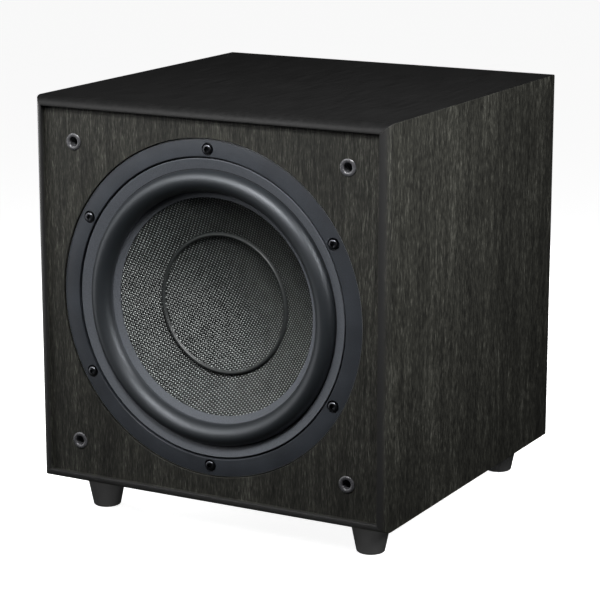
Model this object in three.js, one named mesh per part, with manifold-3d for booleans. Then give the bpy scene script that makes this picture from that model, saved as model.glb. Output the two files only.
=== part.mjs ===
// A powered subwoofer: a sealed cabinet with one ten-inch-class driver, and an amplifier plate at the back.
// Millimetres. +Z is up, the driver looks along -Y, and the origin is on the floor under the middle of the box.

import * as THREE from 'three';
import { mergeVertices } from 'three/addons/utils/BufferGeometryUtils.js';
import Module from 'manifold-3d';

const wasm = await Module();
wasm.setup();

// ---- driving dimensions ----

const GAP = 0.3;                       // between pieces that touch

const WIDTH = 330;                     // cabinet, without its feet
const HEIGHT = 330;
const DEPTH = 327;                     // from the front rim to the back
const REAR_REACH = 21;                 // how far the heatsink stands out behind
const WALL = 15;
const RIM = 8;                         // width left of a wall where the baffle is let into it
const ROUNDOVER = 11;                  // how far back the rounded front edge starts
const RECESS = 5;                      // baffle's face behind the front rim
const BAFFLE = 22;
const BACK = 15;

const FOOT = { height: 32, top: 18, bottom: 12, x: 129, y: 128, recess: 4.6, recessDepth: 20 };
const SOCKET = { x: 127.9, z: 128.5, flange: 7, barrel: 5, hole: 3.25, depth: 18 };

const SCREW = { circle: 132.2, count: 6, head: 3.9, shank: 2.1, clear: 2.7, pilot: 2.4 };
const RING = { inner: 125.3, outer: 141, face: 6.8, thick: 3 };
const REBATE = { radius: 141.8, floor: 14.7 };
const BAFFLE_HOLE = 120;

// Depths of the driver's pieces are measured from the cabinet's front rim.
const ROLL = { outer: 115, outerDepth: 8.6, inner: 96.9, innerDepth: 12.3, crest: 1.3, thick: 1.1 };
const CONE = { rim: 96.4, shoulder: 91.4, cap: 57.8, neck: 26.2, thick: 1.3 };
const CONE_DEPTH = { rim: 13.9, shoulder: 16.5, cap: 31.8, neck: 46.2 };
const BEAD = { inner: 56, middle: 58.1, outer: 60, crest: 28.6, foot: 30.7 };
const BOWL_DEPTH = 43;
const FORMER = { inner: 25.4, outer: 25.9, start: 46, end: 98 };
const COIL = { outer: 27.4, length: 26 };
const SPIDER = { depth: 60.7, outer: 86, waves: 5, swing: 2.4 };
const TOP_PLATE = { inner: 28.3, outer: 68, start: 80.5, thick: 8 };
const MAGNET = { inner: 36, outer: 75, thick: 24 };
const POLE = 24.6;
const WINDOW = { half: 32, start: 19, end: 53 };  // basket openings: half angle in degrees, and depths

const PLATE = { width: 214, height: 254, thick: 3 };
const CUTOUT = { width: 188, height: 228 };
const HEATSINK = { width: 172, height: 70, z: 78, base: 3, fins: 18, fin: 2 };
const VOLUME = { x: 62, z: 12 };
const CROSSOVER = { x: 62, z: -38 };
const PHASE = { x: 8, z: 12, slot: 11, rest: -2.6 };
const POWER_MODE = { x: 8, z: -38, slot: 14, rest: 0 };
const LED = { x: 8, z: -13 };
const LINE_IN = { left: -48, right: -76, z: 12 };
const ROCKER = { x: 52, z: -95, width: 15, reach: 11.8, tilt: 8, pivot: 2 };
const INLET = { x: -44, z: -92 };

const FRONT_Y = -(DEPTH + REAR_REACH) / 2;
const HALF_W = WIDTH / 2;
const HALF_H = HEIGHT / 2;

// ---- finishes ----

const finish = (color, roughness, metalness = 0) =>
  new THREE.MeshStandardMaterial({ color, roughness, metalness });

const woodgrain = finish(0x33332d, 0.55);
const satinBlack = finish(0x202020, 0.5);
const bareBoard = finish(0x8a6f50, 0.9);
const felt = finish(0xd9d6cc, 1);
const footRubber = finish(0x333333, 0.75);
const socketPlastic = finish(0x77777a, 0.45);
const ringPaint = finish(0x3c4047, 0.45, 0.2);
const castMetal = finish(0x2b2c2e, 0.5, 0.6);
const foam = finish(0x222222, 0.95);
const blackSteel = finish(0x151515, 0.35, 0.8);
const rollRubber = finish(0x1a1a1b, 0.5);
const wovenFibre = finish(0x2a2b2b, 0.45);
const kapton = finish(0xa0622a, 0.4);
const copper = finish(0xb06a3a, 0.35, 1);
const spiderCloth = finish(0xb08d3f, 0.9);
const zincSteel = finish(0x9a9ca0, 0.35, 0.9);
const ferrite = finish(0x3a3a3c, 0.7);
const blackPlastic = finish(0x18181a, 0.45);
const powderCoat = finish(0x141415, 0.6, 0.3);
const anodised = finish(0x1b1b1d, 0.4, 0.8);
const boardGreen = finish(0x1f5a35, 0.5);
const tape = finish(0xc9a227, 0.5);
const gold = finish(0xc79a3a, 0.3, 1);
const ledRed = finish(0xb01818, 0.2);
const cableBlack = finish(0x1c1c1c, 0.7);

// ---- making one closed body ----

// Corners that meet are merged, triangles with no area are dropped, and the faces are turned outwards.
function solid(geometry) {
  const bare = new THREE.BufferGeometry();
  bare.setAttribute('position', geometry.getAttribute('position').clone());
  if (geometry.index) bare.setIndex(geometry.index.clone());
  const merged = mergeVertices(bare, 1e-4);
  const corners = merged.getAttribute('position');
  const [a, b, c] = [new THREE.Vector3(), new THREE.Vector3(), new THREE.Vector3()];
  const faces = [];
  let volume = 0;
  for (let i = 0; i < merged.index.count; i += 3) {
    const face = [0, 1, 2].map((k) => merged.index.getX(i + k));
    if (new Set(face).size < 3) continue;
    faces.push(face);
    a.fromBufferAttribute(corners, face[0]);
    b.fromBufferAttribute(corners, face[1]);
    c.fromBufferAttribute(corners, face[2]);
    volume += a.dot(b.cross(c));
  }
  if (volume < 0) faces.forEach((face) => face.reverse());
  return new wasm.Manifold(new wasm.Mesh({
    numProp: 3,
    vertProperties: new Float32Array(corners.array),
    triVerts: new Uint32Array(faces.flat()),
  }));
}

const cut = (body, tools) => tools.reduce((left, tool) => left.subtract(tool), body);
const join = (bodies) => bodies.reduce((whole, body) => whole.add(body));

function piece(group, name, body, material) {
  const { vertProperties, triVerts } = body.getMesh();
  const geometry = new THREE.BufferGeometry();
  geometry.setAttribute('position', new THREE.BufferAttribute(vertProperties, 3));
  geometry.setIndex(new THREE.BufferAttribute(triVerts, 1));
  const mesh = new THREE.Mesh(geometry, material);
  mesh.name = name;
  group.add(mesh);
  return mesh;
}

// ---- plain shapes ----

const block = (width, depth, height, x = 0, y = 0, z = 0) =>
  solid(new THREE.BoxGeometry(width, depth, height).translate(x, y, z));

// A rod or disc along Y, from one depth to another.
const rod = (radius, from, to, x = 0, z = 0, sides = 20) =>
  solid(new THREE.CylinderGeometry(radius, radius, to - from, sides).translate(x, (from + to) / 2, z));

// A turned piece about Y, from a profile of [radius, depth] points.
function turned(profile, sides = 48, x = 0, z = 0) {
  const points = profile.map(([radius, depth]) => new THREE.Vector2(radius, depth));
  return solid(new THREE.LatheGeometry(points, sides).translate(x, 0, z));
}

const closed = (profile) => [...profile, profile[0]];

// The same profile moved along the axis and read backwards makes the other face of a thin turned sheet.
const sheet = (face, thick) =>
  closed([...face, ...face.map(([radius, depth]) => [radius, depth + thick]).reverse()]);

function prism(points, depth) {
  const outline = new THREE.Shape(points.map(([x, y]) => new THREE.Vector2(x, y)));
  return new THREE.ExtrudeGeometry(outline, { depth, bevelEnabled: false });
}

const screwPlaces = Array.from({ length: SCREW.count }, (_, k) => {
  const angle = Math.PI / 2 + (k * 2 * Math.PI) / SCREW.count;
  return [SCREW.circle * Math.cos(angle), SCREW.circle * Math.sin(angle)];
});

const corners = [[-1, 1], [1, 1], [-1, -1], [1, -1]];
const cornerNames = ['top_left', 'top_right', 'bottom_left', 'bottom_right'];
const footNames = ['back_left', 'back_right', 'front_left', 'front_right'];

// ---- groups: the cabinet and the driver start at the front rim, the amplifier at the back panel's face ----

const subwoofer = new THREE.Group();
const cabinet = new THREE.Group();
cabinet.position.set(0, FRONT_Y, FOOT.height + HALF_H);
const driver = new THREE.Group();
driver.position.copy(cabinet.position);
const amplifier = new THREE.Group();
amplifier.position.set(0, FRONT_Y + DEPTH, FOOT.height + HALF_H);
subwoofer.add(cabinet, driver, amplifier);

// ---- cabinet ----

// One wall of the wrap: its section runs front to back, and both ends are mitred where the next wall meets it.
// Its front edge is rounded over. It is drawn as the top wall, with its outer face up at height 0.
function wall(halfRun) {
  const steps = 4;
  const rounded = Array.from({ length: steps + 1 }, (_, k) => {
    const angle = (k * Math.PI) / 2 / steps;
    return [RIM * (1 - Math.cos(angle)), ROUNDOVER * (1 - Math.sin(angle))];
  });
  const section = [
    ...rounded, [RIM, RECESS + BAFFLE + GAP], [WALL, RECESS + BAFFLE + GAP],
    [WALL, DEPTH - BACK - GAP], [RIM, DEPTH - BACK - GAP], [RIM, DEPTH], [0, DEPTH],
  ];
  const geometry = prism(section, 1);
  const place = geometry.getAttribute('position');
  for (let i = 0; i < place.count; i += 1) {
    const [inward, depth, end] = [place.getX(i), place.getY(i), place.getZ(i)];
    place.setXYZ(i, (end > 0.5 ? 1 : -1) * (halfRun - inward - GAP), depth, -inward);
  }
  return solid(geometry);
}

function wrap() {
  const top = piece(cabinet, 'top_panel', wall(HALF_W), satinBlack);
  top.position.z = HALF_H;

  const pilots = corners.map(([x, y]) => new THREE.CylinderGeometry(SCREW.pilot, SCREW.pilot, WALL, 12)
    .rotateX(Math.PI / 2)
    .translate(x * FOOT.x, y * FOOT.y - FRONT_Y, 1 - WALL / 2));
  const bottom = piece(cabinet, 'bottom_panel', cut(wall(HALF_W), pilots.map(solid)), satinBlack);
  bottom.rotation.y = Math.PI;
  bottom.position.z = -HALF_H;

  for (const [name, side] of [['left_panel', -1], ['right_panel', 1]]) {
    const mesh = piece(cabinet, name, wall(HALF_H), woodgrain);
    mesh.rotation.y = (side * Math.PI) / 2;
    mesh.position.x = side * HALF_W;
  }
}

function baffle() {
  const [width, height] = [WIDTH - 2 * (RIM + GAP), HEIGHT - 2 * (RIM + GAP)];
  const board = block(width, BAFFLE, height, 0, RECESS + BAFFLE / 2, 0);
  const opening = rod(BAFFLE_HOLE, 0, RECESS + BAFFLE + 1, 0, 0, 48);
  const rebate = rod(REBATE.radius, 0, REBATE.floor, 0, 0, 48);
  const pilots = screwPlaces.map(([x, z]) => rod(SCREW.pilot, 0, RECESS + BAFFLE + 1, x, z, 10));
  const sockets = corners.map(([x, z]) =>
    rod(SOCKET.barrel + GAP, 0, RECESS + BAFFLE + 1, x * SOCKET.x, z * SOCKET.z, 12));
  piece(cabinet, 'front_baffle', cut(board, [opening, rebate, ...pilots, ...sockets]), woodgrain);
}

function grilleSockets() {
  const { barrel, flange, hole, depth } = SOCKET;
  const seat = RECESS - GAP;
  const profile = [
    [0, depth], [barrel, depth], [barrel, seat], [flange, seat], [flange, seat - 0.5],
    [flange - 0.9, seat - 1.2], [hole + 1.1, seat - 1.2], [hole, seat - 0.4],
    [hole, depth - 2.5], [0, depth - 2.5],
  ];
  corners.forEach(([x, z], k) => {
    const body = turned(profile, 12, x * SOCKET.x, z * SOCKET.z);
    piece(cabinet, `grille_socket_${cornerNames[k]}`, body, socketPlastic);
  });
}

function insideOfCabinet() {
  const inner = WIDTH - 2 * (WALL + GAP);
  piece(cabinet, 'brace_bar', block(inner, 18, 44, 0, 160, 0), bareBoard);
  piece(cabinet, 'damping_wadding', block(250, 230, 22, 0, 158, HALF_H - WALL - GAP - 11), felt);
}

function backPanel() {
  const [width, height] = [WIDTH - 2 * (RIM + GAP), HEIGHT - 2 * (RIM + GAP)];
  const board = block(width, BACK, height, 0, DEPTH - BACK / 2, 0);
  const window = block(CUTOUT.width, BACK + 4, CUTOUT.height, 0, DEPTH - BACK / 2, 0);
  piece(cabinet, 'back_panel', cut(board, [window]), satinBlack);
}

function feet() {
  const { top, bottom, height, recess, recessDepth } = FOOT;
  const profile = closed([
    [recess, 0], [bottom - 1.4, 0], [bottom - 0.3, 1], [bottom, 2.2], [top, height - GAP],
    [SCREW.pilot, height - GAP], [SCREW.pilot, recessDepth], [recess, recessDepth],
  ]);
  const upright = (points, sides) =>
    new THREE.LatheGeometry(points.map(([r, z]) => new THREE.Vector2(r, z)), sides).rotateX(Math.PI / 2);
  const headTop = recessDepth - GAP;
  const screw = [
    [0, headTop - 3.2], [recess - GAP, headTop - 3.2], [recess - GAP, headTop],
    [SCREW.shank, headTop], [SCREW.shank, height + WALL - 4], [0, height + WALL - 4],
  ];
  corners.forEach(([x, y], k) => {
    const stand = new THREE.Group();
    stand.position.set(x * FOOT.x, y * FOOT.y, 0);
    subwoofer.add(stand);
    piece(stand, `foot_${footNames[k]}`, solid(upright(profile, 20)), footRubber);
    piece(stand, `foot_screw_${footNames[k]}`, solid(upright(screw, 10)), zincSteel);
  });
}

// ---- driver ----

function frontOfDriver() {
  const { inner, outer, face, thick } = RING;
  const ring = turned(closed([
    [inner, face + 0.6], [inner + 0.6, face], [outer - 1, face], [outer, face + 1],
    [outer, face + thick], [inner, face + thick],
  ]), 48);
  const headSeat = face + 1.8;
  const counterbores = screwPlaces.map(([x, z]) => rod(5.3, 0, headSeat, x, z, 12));
  const clearances = screwPlaces.map(([x, z]) => rod(SCREW.clear, 0, 30, x, z, 8));
  piece(driver, 'trim_ring', cut(ring, [...counterbores, ...clearances]), ringPaint);

  const gasketFace = REBATE.floor - GAP - 1;
  const gasket = turned(sheet([[BAFFLE_HOLE + 0.5, gasketFace], [outer - 1, gasketFace]], 1), 36);
  piece(driver, 'gasket', cut(gasket, clearances), foam);

  screwPlaces.forEach(([x, z], k) => {
    const head = headSeat - GAP;
    const body = turned([
      [0, head - 1.8], [SCREW.head - 0.6, head - 1.8], [SCREW.head, head - 1.1], [SCREW.head, head],
      [SCREW.shank, head], [SCREW.shank, 25], [0, 25],
    ], 12, x, z);
    const hexSocket = rod(2, 0, head - 0.6, x, z, 6);
    piece(driver, `driver_screw_${k + 1}`, cut(body, [hexSocket]), blackSteel);
  });
}

function basket() {
  const flange = RING.face + RING.thick + GAP;
  const back = TOP_PLATE.start - GAP;
  const shelf = SPIDER.depth + 1 + GAP;
  const shell = turned(closed([
    [112, flange], [RING.outer - 0.5, flange], [RING.outer - 0.5, flange + 3], [115.5, flange + 3],
    [91, 60], [91, shelf + 2.8], [73.5, shelf + 2.8], [67.5, back], [34, back], [34, back - 2.5],
    [65.5, back - 2.5], [71.5, shelf], [88, shelf], [88, 58], [112, flange + 3],
  ]), 32);
  const half = THREE.MathUtils.degToRad(WINDOW.half);
  const wedges = [0, 1, 2, 3].map((quarter) => {
    const outline = [[60, -60 * Math.tan(half)], [130, -130 * Math.tan(half)],
      [130, 130 * Math.tan(half)], [60, 60 * Math.tan(half)]];
    return solid(prism(outline, WINDOW.end - WINDOW.start)
      .rotateX(Math.PI / 2)
      .translate(0, WINDOW.end, 0)
      .rotateY((quarter * Math.PI) / 2));
  });
  const holes = screwPlaces.map(([x, z]) => rod(SCREW.clear, 0, 30, x, z, 8));
  piece(driver, 'basket', cut(shell, [...wedges, ...holes]), castMetal);

  const block45 = new THREE.Group();
  block45.rotation.y = -Math.PI / 4;
  driver.add(block45);
  const terminals = join([
    block(9, 22, 26, 112, 42, 0),
    block(1, 12, 6, 113, 58, -7),
    block(1, 12, 6, 113, 58, 7),
  ]);
  piece(block45, 'terminal_block', terminals, blackPlastic);
}

// The roll is half a round arch that stands on a sloping line between its two flanges.
function surround() {
  const { outer, outerDepth, inner, innerDepth, crest, thick } = ROLL;
  const middle = (outer + inner) / 2;
  const halfWidth = (outer - inner) / 2;
  const rise = (outerDepth + innerDepth) / 2 - crest;
  const steps = 6;
  const arch = (shrink) => Array.from({ length: steps + 1 }, (_, k) => {
    const angle = (Math.PI * k) / steps;
    const along = (1 - Math.cos(angle)) / 2;
    const foot = outerDepth + (innerDepth - outerDepth) * along;
    return [middle + (halfWidth - shrink) * Math.cos(angle), foot - (rise - shrink) * Math.sin(angle)];
  });
  const slope = (CONE_DEPTH.shoulder - CONE_DEPTH.rim) / (CONE.rim - CONE.shoulder);
  const lipDepth = innerDepth + slope * (inner - CONE.shoulder);
  const front = [[RING.inner - 0.6, outerDepth], ...arch(0), [CONE.shoulder, lipDepth]];
  const behind = [[CONE.shoulder, lipDepth + thick],
    ...arch(thick).reverse().map(([r, d]) => [r, d + thick]), [RING.inner - 0.6, outerDepth + thick]];
  piece(driver, 'surround', turned(closed([...front, ...behind]), 48), rollRubber);
}

function cone() {
  const face = [
    [CONE.rim, CONE_DEPTH.rim + 0.2], [CONE.shoulder, CONE_DEPTH.shoulder + 0.2],
    [CONE.cap, CONE_DEPTH.cap], [CONE.neck, CONE_DEPTH.neck],
  ];
  piece(driver, 'cone', turned(sheet(face, CONE.thick), 48), wovenFibre);
}

function dustCap() {
  const steps = 4;
  const bowl = Array.from({ length: steps + 1 }, (_, k) => {
    const radius = (BEAD.inner * k) / steps;
    return [radius, BOWL_DEPTH - (BOWL_DEPTH - BEAD.foot - 0.3) * (radius / BEAD.inner) ** 2];
  });
  const front = [...bowl, [BEAD.inner + 0.6, 29.3], [BEAD.middle, BEAD.crest],
    [BEAD.outer - 0.4, 29.3], [BEAD.outer, BEAD.foot - 0.4]];
  const behind = [[BEAD.middle, BEAD.foot + 0.5], ...bowl.map(([r, d]) => [r, d + 1]).reverse()];
  piece(driver, 'dust_cap', turned([...front, ...behind], 36), wovenFibre);
}

function voiceCoil() {
  const { inner, outer, start, end } = FORMER;
  const tube = closed([[inner, start], [outer, start], [outer, end], [inner, end]]);
  piece(driver, 'coil_former', turned(tube, 28), kapton);
  const middle = TOP_PLATE.start + TOP_PLATE.thick / 2;
  const [from, to] = [middle - COIL.length / 2, middle + COIL.length / 2];
  const winding = closed([[outer + GAP, from], [COIL.outer, from], [COIL.outer, to], [outer + GAP, to]]);
  piece(driver, 'voice_coil', turned(winding, 28), copper);
}

function spider() {
  const [first, last] = [31, 69];
  const steps = SPIDER.waves * 2;
  const ripples = Array.from({ length: steps + 1 }, (_, k) => {
    const height = k === 0 || k === steps ? 0 : (-1) ** k * SPIDER.swing;
    return [first + ((last - first) * k) / steps, SPIDER.depth - height];
  });
  const face = [[FORMER.outer + GAP, SPIDER.depth], ...ripples, [SPIDER.outer, SPIDER.depth]];
  piece(driver, 'spider', turned(sheet(face, 1), 24), spiderCloth);
}

function motor() {
  const { inner, outer, start, thick } = TOP_PLATE;
  const plateEnd = start + thick;
  const plate = closed([[inner, start], [outer, start], [outer, plateEnd], [inner, plateEnd]]);
  piece(driver, 'top_plate', turned(plate, 32), zincSteel);
  const [from, to] = [plateEnd + GAP, plateEnd + GAP + MAGNET.thick];
  piece(driver, 'magnet', turned(closed([
    [MAGNET.inner, from], [MAGNET.outer - 2, from], [MAGNET.outer, from + 2], [MAGNET.outer, to - 2],
    [MAGNET.outer - 2, to], [MAGNET.inner, to],
  ]), 32), ferrite);
  piece(driver, 'pole_and_back_plate', turned([
    [0, start], [POLE, start], [POLE, to + GAP], [outer, to + GAP], [outer, to + GAP + 8], [0, to + GAP + 8],
  ], 32), zincSteel);
}

function speakerCable() {
  const route = new THREE.CatmullRomCurve3([
    [79, 66, 79], [84, 84, 84], [100, 130, 88], [92, 200, 72], [74, 262, 52], [66, 286, 40],
  ].map(([x, y, z]) => new THREE.Vector3(x, y, z)));
  const round = new THREE.Shape().absarc(0, 0, 2.4, 0, 2 * Math.PI);
  const tube = new THREE.ExtrudeGeometry(round, { extrudePath: route, steps: 20, curveSegments: 3 });
  piece(driver, 'speaker_cable', solid(tube), cableBlack);
}

// ---- amplifier: depth 0 is the back panel's outer face, and plus is outwards ----

const plateFace = GAP + PLATE.thick;

function amplifierPlate() {
  const plate = block(PLATE.width, PLATE.thick, PLATE.height, 0, GAP + PLATE.thick / 2, 0);
  const openings = [
    ...[VOLUME, CROSSOVER].map(({ x, z }) => rod(3.9, -1, 9, x, z, 16)),
    ...[LINE_IN.left, LINE_IN.right].map((x) => rod(5.3, -1, 9, x, LINE_IN.z, 16)),
    ...[PHASE, POWER_MODE].map(({ x, z, slot }) => block(slot, 12, 4.8, x, 2, z)),
    rod(2.7, -1, 9, LED.x, LED.z, 16),
    block(20.2, 12, 30.2, ROCKER.x, 2, ROCKER.z),
    block(30.6, 12, 38.6, INLET.x, 2, INLET.z),
  ];
  piece(amplifier, 'amplifier_plate', cut(plate, openings), powderCoat);
}

function heatsink() {
  const { width, height, z, base, fins, fin } = HEATSINK;
  const pitch = (width - fin) / (fins - 1);
  const reach = REAR_REACH - plateFace - GAP;
  const comb = [[-width / 2, 0], [width / 2, 0]];
  for (let k = fins - 1; k >= 0; k -= 1) {
    const left = -width / 2 + k * pitch;
    if (k < fins - 1) comb.push([left + fin, base]);
    comb.push([left + fin, reach], [left, reach]);
    if (k > 0) comb.push([left, base]);
  }
  const body = solid(prism(comb, height).translate(0, plateFace + GAP, z - height / 2));
  piece(amplifier, 'heatsink', body, anodised);
}

function lineInputs() {
  for (const [side, x] of [['left', LINE_IN.left], ['right', LINE_IN.right]]) {
    const out = plateFace + GAP;
    const body = turned([
      [0, -10], [5, -10], [5, out], [6.6, out], [6.6, out + 2], [4.15, out + 2], [4.15, out + 10.5],
      [1.7, out + 10.5], [1.7, out + 2], [0, out + 2],
    ], 16, x, LINE_IN.z);
    piece(amplifier, `line_input_${side}`, body, gold);
  }
}

function rotaryControls() {
  for (const [name, { x, z }] of [['volume', VOLUME], ['crossover', CROSSOVER]]) {
    const pot = turned([
      [0, -12], [8, -12], [8, 0], [3.6, 0], [3.6, 5.4], [3.3, 5.4], [3.3, -9], [0, -9],
    ], 16, x, z);
    piece(amplifier, `${name}_control`, pot, zincSteel);
    piece(amplifier, `${name}_shaft`, rod(3, -8.7, 15, x, z, 16), zincSteel);
    const knob = turned([
      [0, 19], [8.6, 19], [9.4, 18.2], [10, 6], [3.8, 6], [3.3, 6.6], [3.3, 15.3], [0, 15.3],
    ], 24, x, z);
    const pointer = block(1.2, 1.2, 7, x, 19, z + 5);
    piece(amplifier, `${name}_knob`, cut(knob, [pointer]), blackPlastic);
  }
}

function slideSwitches() {
  for (const [name, { x, z, rest }] of [['phase_switch', PHASE], ['power_mode_switch', POWER_MODE]]) {
    const button = join([
      block(4.4, 10, 4, x + rest, 2.4, z),
      block(9, 1.6, 7, x + rest, -2, z),
    ]);
    piece(amplifier, name, button, blackPlastic);
  }
}

function powerLight() {
  const lens = turned([
    [0, -4], [3.4, -4], [3.4, 0], [2.4, 0], [2.4, plateFace + 0.6], [1.9, plateFace + 1.6],
    [1, plateFace + 2.1], [0, plateFace + 2.2],
  ], 12, LED.x, LED.z);
  piece(amplifier, 'power_light', lens, ledRed);
}

function mainsSwitch() {
  const { x, z, width, reach, tilt, pivot } = ROCKER;
  const rimOut = plateFace + GAP + 2.4;
  const shell = join([
    block(24, 2.4, 34, x, rimOut - 1.2, z),
    block(19.6, 22, 29.6, x, rimOut - 11, z),
  ]);
  const well = block(width + 0.8, 17, 2 * reach + 0.8, x, rimOut - 8, z);
  piece(amplifier, 'mains_switch_housing', cut(shell, [well]), blackPlastic);

  const end = THREE.MathUtils.degToRad(26);
  const [across, up] = [reach * Math.cos(end), reach * Math.sin(end)];
  const outline = [
    [-across, -up], [across, -up], [reach, 0], [across, up], [0, up - 1.4], [-across, up], [-reach, 0],
  ];
  const rocker = prism(outline, width).translate(0, 0, -width / 2).rotateZ(Math.PI / 2).rotateY(Math.PI / 2);
  const hinge = new THREE.Group();
  hinge.position.set(x, pivot, z);
  hinge.rotation.x = THREE.MathUtils.degToRad(-tilt);
  amplifier.add(hinge);
  piece(hinge, 'mains_switch_rocker', solid(rocker), blackPlastic);
}

function mainsInlet() {
  const socket = new THREE.Group();
  socket.position.set(INLET.x, plateFace + GAP, INLET.z);
  amplifier.add(socket);
  const shell = join([
    block(50, 3, 50, 0, 1.5, 0),
    block(30, 24, 38, 0, -9, 0),
  ]);
  const cavity = block(24.6, 16, 16.8, 0, -4.9, 8);
  const drawerWay = block(24.6, 20.6, 8.6, 0, -7.2, -11);
  const pins = [[-7, 7], [7, 7], [0, 11.5]].map(([x, z]) => block(2, 13, 4, x, -7, z));
  piece(socket, 'mains_inlet', join([cut(shell, [cavity, drawerWay]), ...pins]), blackPlastic);
  const drawer = join([
    block(24, 19.6, 8, 0, -7, -11),
    block(24, 1.4, 8, 0, 3.4, -11),
  ]);
  piece(socket, 'fuse_drawer', drawer, blackPlastic);
}

function electronics() {
  piece(amplifier, 'circuit_board', block(176, 1.6, 146, 0, -22, 31), boardGreen);
  piece(amplifier, 'capacitor', rod(15, -62, -23.2, -50, 60, 20), satinBlack);
  const toroid = new THREE.LatheGeometry(closed([
    [14, 2], [16, 0], [44, 0], [48, 4], [48, 36], [44, 40], [16, 40], [14, 38],
  ]).map(([r, h]) => new THREE.Vector2(r, h)), 24).rotateX(Math.PI / 2);
  const transformer = piece(cabinet, 'transformer', solid(toroid), tape);
  transformer.position.set(0, 232, -HALF_H + WALL + GAP);
}

wrap();
baffle();
grilleSockets();
insideOfCabinet();
backPanel();
feet();
frontOfDriver();
basket();
surround();
cone();
dustCap();
voiceCoil();
spider();
motor();
speakerCable();
amplifierPlate();
heatsink();
lineInputs();
rotaryControls();
slideSwitches();
powerLight();
mainsSwitch();
mainsInlet();
electronics();

export default subwoofer;
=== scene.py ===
# %% [markdown]
# # A powered subwoofer
# It is a closed wooden box on four feet, with one ten-inch-class driver let into its front and an amplifier
# plate screwed to its back. The solids that fix the sizes are loaded as a frame. Each piece that can be
# seen is then made again in the same place, with the roundings, grain and weave that the real one has.

# %% Load the frame and keep its size
import math

import bmesh
import bpy
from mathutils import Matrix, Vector, noise


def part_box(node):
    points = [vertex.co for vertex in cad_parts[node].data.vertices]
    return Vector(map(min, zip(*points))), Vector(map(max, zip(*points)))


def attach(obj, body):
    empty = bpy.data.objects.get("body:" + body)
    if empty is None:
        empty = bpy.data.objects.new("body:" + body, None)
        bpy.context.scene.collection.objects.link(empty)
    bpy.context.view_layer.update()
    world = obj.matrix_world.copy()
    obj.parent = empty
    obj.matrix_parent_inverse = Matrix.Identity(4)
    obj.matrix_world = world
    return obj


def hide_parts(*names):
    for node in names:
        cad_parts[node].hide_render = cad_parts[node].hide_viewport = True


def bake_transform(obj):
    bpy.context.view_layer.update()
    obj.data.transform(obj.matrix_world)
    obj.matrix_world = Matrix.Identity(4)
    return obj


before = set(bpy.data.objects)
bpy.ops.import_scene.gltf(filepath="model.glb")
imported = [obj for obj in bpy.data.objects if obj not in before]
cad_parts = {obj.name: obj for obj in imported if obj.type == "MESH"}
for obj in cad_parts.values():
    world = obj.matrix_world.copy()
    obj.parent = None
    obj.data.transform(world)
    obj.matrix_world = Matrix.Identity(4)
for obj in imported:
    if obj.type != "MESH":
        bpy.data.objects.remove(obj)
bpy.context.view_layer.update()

# %% [markdown]
# ## Measures
# Lengths are written in millimetres, as a maker would, and turned into metres when a mesh is made. The
# places come from the boxes of the frame's nodes, so a change to the frame moves everything with it.

# %% Places read from the frame
MM = 0.001


def box(node):
    """Lowest and highest corner of a node, in millimetres."""
    low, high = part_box(node)
    return low / MM, high / MM


def middle(node):
    low, high = box(node)
    return (low + high) / 2


CABINET_LOW = Vector((box("left_panel")[0].x, box("left_panel")[0].y, box("bottom_panel")[0].z))
CABINET_HIGH = Vector((box("right_panel")[1].x, box("left_panel")[1].y, box("top_panel")[1].z))
HALF_BOX = (CABINET_HIGH.x - CABINET_LOW.x) / 2
CABINET_DEPTH = CABINET_HIGH.y - CABINET_LOW.y
AXIS_Z = middle("trim_ring").z            # height of the driver's axis
FRONT = CABINET_LOW.y                     # the front rim
PLATE_FACE = box("amplifier_plate")[1].y  # outer face of the amplifier plate
BACK_FACE = FRONT + CABINET_DEPTH         # back face of the box
print("cabinet", [round(v, 1) for v in CABINET_HIGH - CABINET_LOW], "axis at height", round(AXIS_Z, 1))

# %% Radii that the finishes and the shapes of the driver share
RING_EDGE = 140.7        # outer edge of the painted ring
ROLL_OUT = 115.0         # outer foot of the surround's half-roll
ROLL_IN = 96.9           # its inner foot
BEAD_IN = 56.3           # the glued edge of the cap lies between these two
BEAD_OUT = 60.1
print("ring", 2 * RING_EDGE, "mm wide, cap", 2 * BEAD_OUT, "mm wide")

# %% [markdown]
# ## Shader maths
# A finish is a small program that is run at each point of a surface. Written with nodes it is hard to read,
# so one class wraps an output socket and lets Python's own signs add the Math nodes. Another holds the
# material and adds every other kind of node in one way, and a third adds patterns at their real size.

# %% A socket that can be used in arithmetic


class Signal:
    """One output of a shader node. Signs between signals, or a signal and a number, add Math nodes."""

    def __init__(self, finish, socket):
        self.finish = finish
        self.socket = socket

    def math(self, operation, *others):
        inputs = dict(enumerate((self, *others)))
        return self.finish.add("ShaderNodeMath", {"operation": operation}, inputs)

    def __add__(self, other):
        return self.math("ADD", other)

    __radd__ = __add__

    def __sub__(self, other):
        return self.math("SUBTRACT", other)

    def __rsub__(self, other):
        return self.finish.add("ShaderNodeMath", {"operation": "SUBTRACT"}, {0: other, 1: self})

    def __mul__(self, other):
        return self.math("MULTIPLY", other)

    __rmul__ = __mul__

    def __truediv__(self, other):
        return self.math("DIVIDE", other)

    def __pow__(self, other):
        return self.math("POWER", other)

    def fraction(self):
        return self.math("FRACT")

    def floor(self):
        return self.math("FLOOR")

    def sine(self):
        return self.math("SINE")

    def above(self, edge, softness=1e-4):
        """0 below the edge and 1 above it, with a smooth step between."""
        settings = {"interpolation_type": "SMOOTHSTEP"}
        inputs = {"Value": self, "From Min": edge - softness, "From Max": edge + softness}
        return self.finish.add("ShaderNodeMapRange", settings, inputs)


def tint(hex_colour):
    """A colour written as six hexadecimal digits, as the linear values that Blender works with."""
    parts = [int(hex_colour[i:i + 2], 16) / 255 for i in (0, 2, 4)]
    linear = [p / 12.92 if p <= 0.04045 else ((p + 0.055) / 1.055) ** 2.4 for p in parts]
    return (*linear, 1.0)


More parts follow.
